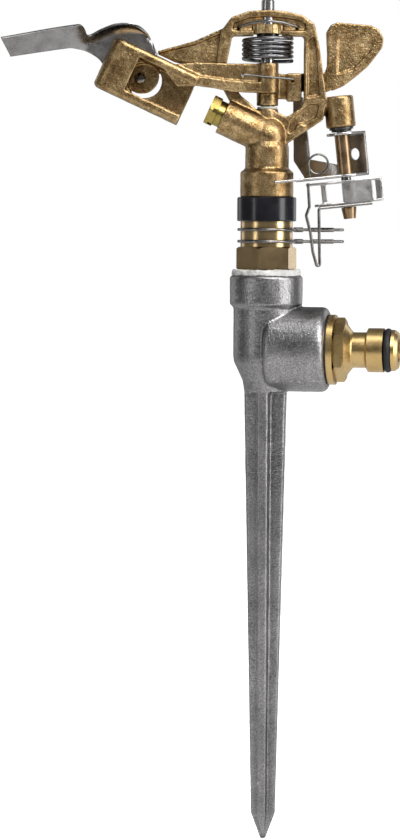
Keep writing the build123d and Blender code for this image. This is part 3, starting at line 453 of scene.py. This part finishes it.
# ---------------------------------------------------------------- splash vane
# Sections of the steel strip from the blade's tip to the tab's free edge. Each has four points: the lower
# edge, the start of the curl, the curl's corner and the upper edge, as (x, y, z) in the arm's frame.
VANE_SECTIONS = [
    ((-102.6, 3.3, 3.0), (-104.1, -1.2, 6.2), (-104.9, -3.4, 7.8), (-105.7, -5.7, 9.5)),
    ((-79.3, 4.2, 6.4), (-77.5, 1.6, 10.6), (-76.4, 0.1, 12.9), (-75.3, -1.4, 15.1)),
    ((-77.0, 4.4, 6.2), (-75.0, 2.6, 10.2), (-74.0, 1.5, 12.2), (-73.2, 0.4, 14.2)),
    ((-72.5, 5.3, 5.0), (-71.8, 4.9, 8.4), (-71.6, 4.3, 10.0), (-71.6, 3.2, 11.2)),
    ((-67.0, 6.2, 1.6), (-67.0, 6.3, 8.4), (-66.8, 6.2, 11.8), (-66.0, 2.6, 13.6)),
    ((-60.0, 6.45, -9.4), (-60.0, 6.45, 10.6), (-60.0, 6.45, 15.2), (-60.0, 2.3, 15.6)),
    ((-53.0, 6.45, -9.9), (-53.0, 6.45, 11.4), (-53.0, 6.45, 15.3), (-53.0, 2.6, 15.4)),
    ((-48.5, 6.45, -9.4), (-49.0, 6.45, 11.6), (-49.0, 6.45, 13.0), (-49.0, 4.2, 13.0)),
    ((-44.6, 6.45, -3.9), (-46.8, 6.45, 9.5), (-46.8, 6.45, 9.6), (-46.8, 6.2, 9.7)),
    ((-44.2, 6.45, -2.0), (-44.0, 6.45, 3.4), (-44.1, 6.45, 3.5), (-44.1, 6.4, 3.6)),
]
VANE_STEPS = (26, 3, 4, 6, 8, 8, 6, 6, 3)     # columns of faces between one section and the next
VANE_FLAT_ROWS = 8
VANE_CURL_ROWS = 12
VANE_THICKNESS = 0.9 * MM
VANE_EDGE = 0.15 * MM


def through(points, number, share):
    """Point on the smooth curve through the points, between one of them and the next."""
    ends = [Vector(points[min(max(number + step, 0), len(points) - 1)]) for step in (-1, 0, 1, 2)]
    gap = (ends[2] - ends[1]).length
    slopes = []
    for before, here, after in (ends[:3], ends[1:]):
        first, second = (here - before).length, (after - here).length
        slopes.append((after - before) * (gap / (first + second)))
    square, cube = share ** 2, share ** 3
    return (ends[1] * (2 * cube - 3 * square + 1) + slopes[0] * (cube - 2 * square + share)
            + ends[2] * (3 * square - 2 * cube) + slopes[1] * (cube - square))


def strip_column(section):
    """Points up one column of the strip: straight to the curl, then round it."""
    low, start, corner, top = section
    column = [low.lerp(start, row / VANE_FLAT_ROWS) for row in range(VANE_FLAT_ROWS)]
    for row in range(VANE_CURL_ROWS + 1):
        share = row / VANE_CURL_ROWS
        column.append(start.lerp(corner, share).lerp(corner.lerp(top, share), share))
    return column


def grid_mesh(name, columns):
    """Mesh of a grid of points."""
    shape = bmesh.new()
    rows = [[shape.verts.new(point) for point in column] for column in columns]
    for left, right in zip(rows, rows[1:]):
        for row in range(len(left) - 1):
            shape.faces.new((left[row], right[row], right[row + 1], left[row + 1]))
    return mesh_from(shape, name)


def splash_vane():
    """Steel strip with a long blade, a curled crest and a flat tab behind the spoon."""
    columns = []
    rails = list(zip(*VANE_SECTIONS))
    for number, steps in enumerate(VANE_STEPS):
        for step in range(steps):
            columns.append(strip_column([through(rail, number, step / steps) for rail in rails]))
    columns.append(strip_column([Vector(point) for point in VANE_SECTIONS[-1]]))
    piece = new_object("splash_vane_strip", grid_mesh("splash_vane_strip", columns))
    piece.data.transform(arm_frame())
    solid = piece.modifiers.new("thickness", "SOLIDIFY")
    solid.thickness = VANE_THICKNESS
    solid.offset = 0.0
    edge = piece.modifiers.new("edge", "BEVEL")
    edge.width = VANE_EDGE
    edge.segments = 2
    edge.limit_method = "ANGLE"
    edge.angle_limit = math.radians(60)
    applied(piece)
    smooth_shaded(piece.data)
    finish_piece(piece, "splash_vane", "vane_steel")


# ---------------------------------------------------------------- turned and wound pieces
LATHE_SEGMENTS = 48
RIVET_HEAD = 0.30            # thickness of a rivet head, as a share of its radius
RIVET_CROWN = 1.3            # how much higher the front head's dome is
RIVET_SHANK = 0.62           # radius of the shank, as a share of the head's


def lathe(name, profile):
    """Closed turned solid about Z from (radius, height) points, the first and last on the axis."""
    shape = bmesh.new()
    points = [shape.verts.new((radius, 0.0, height)) for radius, height in profile]
    lines = [shape.edges.new(pair) for pair in zip(points, points[1:])]
    bmesh.ops.spin(shape, geom=points + lines, axis=(0, 0, 1), cent=(0, 0, 0), angle=math.tau,
                   steps=LATHE_SEGMENTS)
    bmesh.ops.remove_doubles(shape, verts=shape.verts, dist=1e-7)
    bmesh.ops.recalc_face_normals(shape, faces=shape.faces)
    return new_object(name, smooth_shaded(mesh_from(shape, name)))


def dome(radius, height, side, steps=8):
    """Profile of a domed head, from its rim to the axis."""
    angles = [math.radians(90 * step / steps) for step in range(steps + 1)]
    return [(radius * math.cos(a), side * height * math.sin(a)) for a in angles]


def vane_rivet():
    """Rivet with a domed head inside the spoon's pocket and another behind the tab."""
    low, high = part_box("vane_rivet")
    turn = head_turn()
    radius = (high.z - low.z) / 2
    width, depth = high.x - low.x, high.y - low.y
    length = (depth * math.cos(turn) - width * math.sin(turn)) / math.cos(2 * turn)
    head = RIVET_HEAD * radius
    front = [(r, z - length / 2 + head) for r, z in dome(radius, RIVET_CROWN * head, -1)]
    back = [(r, z + length / 2 - head) for r, z in dome(radius, head, 1)]
    shank = RIVET_SHANK * radius
    profile = front[::-1] + [(shank, front[0][1]), (shank, back[0][1])] + back
    piece = lathe("vane_rivet_domed", profile)
    upright = Matrix.Rotation(turn, 4, "Z") @ Matrix.Rotation(-math.pi / 2, 4, "X")
    piece.data.transform(Matrix.Translation((low + high) / 2) @ upright)
    finish_piece(piece, "vane_rivet", "spring_steel")


def thread_tape():
    """Wound white thread tape, squeezed out unevenly between the nipple and the collar."""
    piece = casting("thread_seal", "ptfe", TAPE_VOXEL, 2, TAPE_SKIN, SHEET_FACES)
    piece.name = "thread_tape"


def clip_thickness(step):
    """Thickness of a clip's leg at one step, as a share of the wire's."""
    share = step / CLIP_LEG_STEPS
    if CLIP_WINDING[0] < share < CLIP_WINDING[1]:
        return WINDING_TURN if step % 2 else WINDING_GAP
    return GRIP_THICKNESS if CLIP_GRIP[0] < share < CLIP_GRIP[1] else 1.0


def clip_path(ring, reach, spread):
    """Closed path of a clip as (along, across, thickness): ring, one leg, the bend, the other leg."""
    start = math.asin(spread / ring)
    path = []
    for step in range(CLIP_RING_STEPS + 1):
        angle = start + (math.tau - 2 * start) * step / CLIP_RING_STEPS
        path.append((ring * math.cos(angle), ring * math.sin(angle), 1.0))
    root = ring * math.cos(start)
    end = reach - spread
    legs = []
    for step in range(1, CLIP_LEG_STEPS):
        legs.append((root + (end - root) * step / CLIP_LEG_STEPS, clip_thickness(step)))
    path += [(along, -spread, thick) for along, thick in legs]
    for step in range(CLIP_BEND_STEPS + 1):
        angle = math.pi * (step / CLIP_BEND_STEPS - 0.5)
        path.append((end + spread * math.cos(angle), spread * math.sin(angle), 1.0))
    return path + [(along, spread, thick) for along, thick in reversed(legs)]


def bent_wire(name, path, radius):
    """Mesh of a closed flat wire along (along, across, thickness) points."""
    curve = bpy.data.curves.new(name, "CURVE")
    curve.dimensions = "3D"
    curve.bevel_depth = radius
    curve.bevel_resolution = 4
    spline = curve.splines.new("POLY")
    spline.points.add(len(path) - 1)
    for point, (along, across, thick) in zip(spline.points, path):
        point.co = (along, across, 0.0, 1.0)
        point.radius = thick
    spline.use_cyclic_u = True
    drawn = new_object(name + "_path", curve)
    mesh = evaluated_mesh(drawn)
    bpy.data.objects.remove(drawn)
    return smooth_shaded(mesh)


def stop_clip(node):
    """Spring wire ring with two legs that meet in a bend, wound and pressed thicker where fingers grip."""
    low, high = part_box(node)
    wire = (high.z - low.z) / 2
    corners = [NODES[node].matrix_world @ vertex.co for vertex in NODES[node].data.vertices]
    farthest = max(corner.xy.length for corner in corners)
    tips = [corner.xy for corner in corners if corner.xy.length > 0.97 * farthest]
    turn = math.atan2(sum(tip.y for tip in tips), sum(tip.x for tip in tips))
    local = [Matrix.Rotation(-turn, 2) @ corner.xy for corner in corners]
    ring = -min(corner.x for corner in local) - wire
    reach = max(corner.x for corner in local) - wire
    spread = max(corner.y for corner in local if corner.x > 0.7 * reach) - wire
    mesh = bent_wire(node, clip_path(ring, reach, spread), wire)
    mesh.transform(Matrix.Translation((0.0, 0.0, (low.z + high.z) / 2)) @ Matrix.Rotation(turn, 4, "Z"))
    finish_piece(new_object(node + "_wire", mesh), node, "spring_steel")


# ---------------------------------------------------------------- studio
def studio_floor():
    """Pale plain floor under the spike's point."""
    shape = bmesh.new()
    bmesh.ops.create_circle(shape, cap_ends=True, segments=96, radius=FLOOR_RADIUS)
    floor = new_object("studio_floor", mesh_from(shape, "studio_floor"))
    floor.location = (0.0, 0.0, min(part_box(name)[0].z for name in NODES) - FLOOR_GAP)
    shader = Shader("floor_paper", specular=0.1)
    shader.colour(shader.between(shader.noise(400.0), 0.86, 0.89))
    shader.surface.inputs["Roughness"].default_value = 0.9
    shader.surface.inputs["Emission Color"].default_value = (1.0, 1.0, 1.0, 1.0)
    path = shader.tree.nodes.new("ShaderNodeLightPath")
    shader.link(path.outputs["Is Camera Ray"], shader.surface.inputs["Emission Strength"])
    floor.data.materials.append(shader.material)


def around(azimuth, elevation, distance, centre):
    """Point at a distance from the centre, by azimuth and elevation in degrees."""
    a, e = math.radians(azimuth), math.radians(elevation)
    back = Vector((math.sin(a) * math.cos(e), -math.cos(a) * math.cos(e), math.sin(e)))
    return centre + back * distance


def softbox(name, azimuth, elevation, distance, size, power):
    light = bpy.data.lights.new(name, "AREA")
    light.shape = "RECTANGLE"
    light.size, light.size_y = size
    light.energy = power
    holder = bpy.data.objects.new(name, light)
    bpy.context.scene.collection.objects.link(holder)
    holder.location = around(CAMERA_AZIMUTH + azimuth, elevation, distance, LIT_CENTRE)
    holder.rotation_euler = (LIT_CENTRE - holder.location).to_track_quat("-Z", "Y").to_euler()


def studio_light():
    """Softboxes, and an even surround that the camera sees as white."""
    for name, setting in SOFTBOXES.items():
        softbox(name, *setting)
    world = bpy.data.worlds.new("studio_world")
    bpy.context.scene.world = world
    world.use_nodes = True
    tree = world.node_tree
    surround = tree.nodes["Background"]
    surround.inputs["Color"].default_value = (1.0, 1.0, 1.0, 1.0)
    surround.inputs["Strength"].default_value = SURROUND
    seen = tree.nodes.new("ShaderNodeBackground")
    seen.inputs["Color"].default_value = (1.0, 1.0, 1.0, 1.0)
    seen.inputs["Strength"].default_value = 1.0
    path = tree.nodes.new("ShaderNodeLightPath")
    mix = tree.nodes.new("ShaderNodeMixShader")
    tree.links.new(path.outputs["Is Camera Ray"], mix.inputs[0])
    tree.links.new(surround.outputs[0], mix.inputs[1])
    tree.links.new(seen.outputs[0], mix.inputs[2])
    tree.links.new(mix.outputs[0], tree.nodes["World Output"].inputs["Surface"])


def camera():
    """Camera at the photographer's place, a little right of the front."""
    data = bpy.data.cameras.new("camera")
    data.sensor_width = SENSOR
    data.lens = SENSOR * CAMERA_DISTANCE / VIEW_HEIGHT
    data.clip_start = 0.01
    data.clip_end = 50.0
    holder = bpy.data.objects.new("camera", data)
    bpy.context.scene.collection.objects.link(holder)
    a = math.radians(CAMERA_AZIMUTH)
    right = Vector((math.cos(a), math.sin(a), 0.0))
    target = right * VIEW_CENTRE[0] + Vector((0.0, 0.0, VIEW_CENTRE[1]))
    rise = math.degrees(math.asin((CAMERA_HEIGHT - VIEW_CENTRE[1]) / CAMERA_DISTANCE))
    holder.location = around(CAMERA_AZIMUTH, rise, CAMERA_DISTANCE, target)
    look = (target - holder.location).to_track_quat("-Z", "Y").to_matrix()
    roll = Matrix.Rotation(math.radians(CAMERA_ROLL), 3, "Z")
    holder.rotation_euler = (look @ roll).to_euler()
    bpy.context.scene.camera = holder


camera()
paint_nodes()
casting("spike_housing", "cast_grey", SPIKE_VOXEL, 3, SPIKE_SKIN)
casting("sprinkler_body", "cast_brass", BODY_VOXEL, 4, BRASS_SKIN, marks=ejector_marks)
casting("swing_arm", "cast_brass", ARM_VOXEL, 4, BRASS_SKIN)
casting("reverse_lever", "stainless_sheet", SHEET_VOXEL, 2, SHEET_SKIN, SHEET_FACES)
casting("trip_lever", "stainless_sheet", SHEET_VOXEL, 2, SHEET_SKIN, SHEET_FACES)
splash_vane()
vane_rivet()
thread_tape()
stop_clip("upper_stop_clip")
stop_clip("lower_stop_clip")
studio_floor()
studio_light()
bpy.context.scene.view_settings.view_transform = "Standard"
